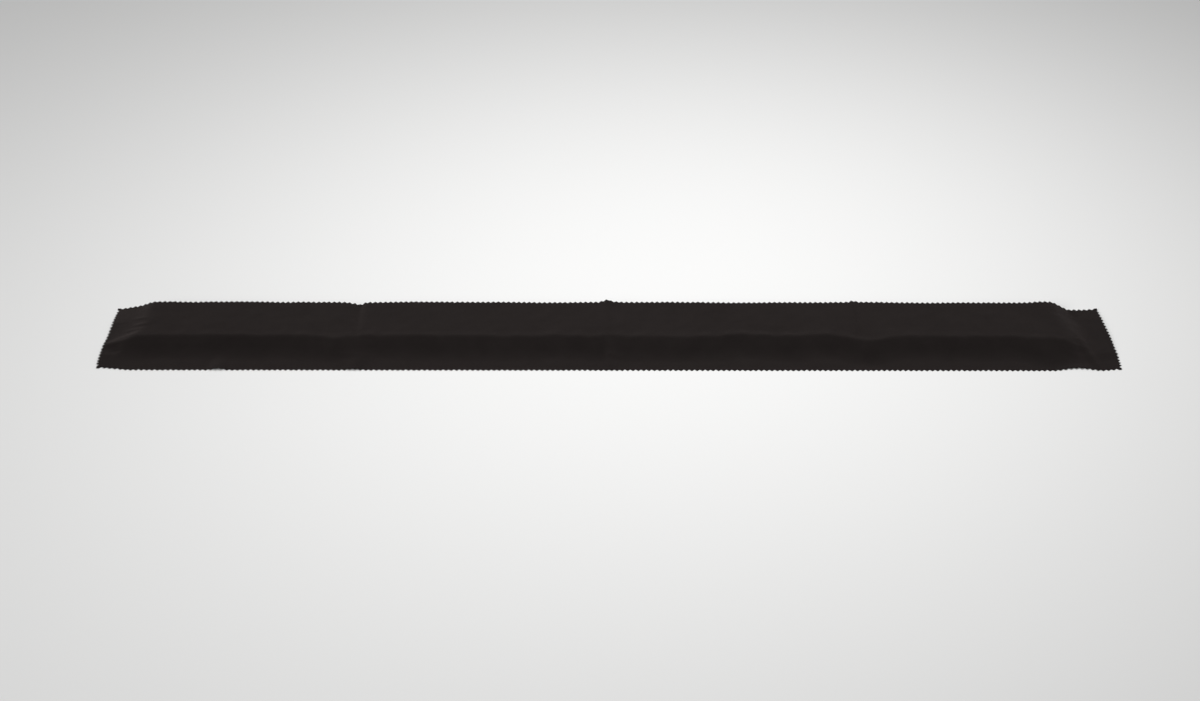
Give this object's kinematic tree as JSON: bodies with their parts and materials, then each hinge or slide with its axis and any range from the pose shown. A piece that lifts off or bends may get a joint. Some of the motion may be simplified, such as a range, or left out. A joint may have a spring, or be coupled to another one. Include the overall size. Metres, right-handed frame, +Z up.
{
  "type": "keyboard dust cover",
  "caption": "Long narrow strip of black cloth with pinked edges, draped with a raised back, a sloping front and ends that fall to the surface, to keep dust off a keyboard.",
  "frame": {"origin": "middle of the cover's plan, on the surface that it rests on", "axes": "+X along the length, +Y from the front edge to the back edge, +Z up"},
  "size_m": [1.2661, 0.1437, 0.0169],
  "materials": {
    "black_cloth": "matte, with a short soft nap"
  },
  "bodies": {
    "root": {"cover_cloth": "black_cloth"}
  },
  "joints": []
}
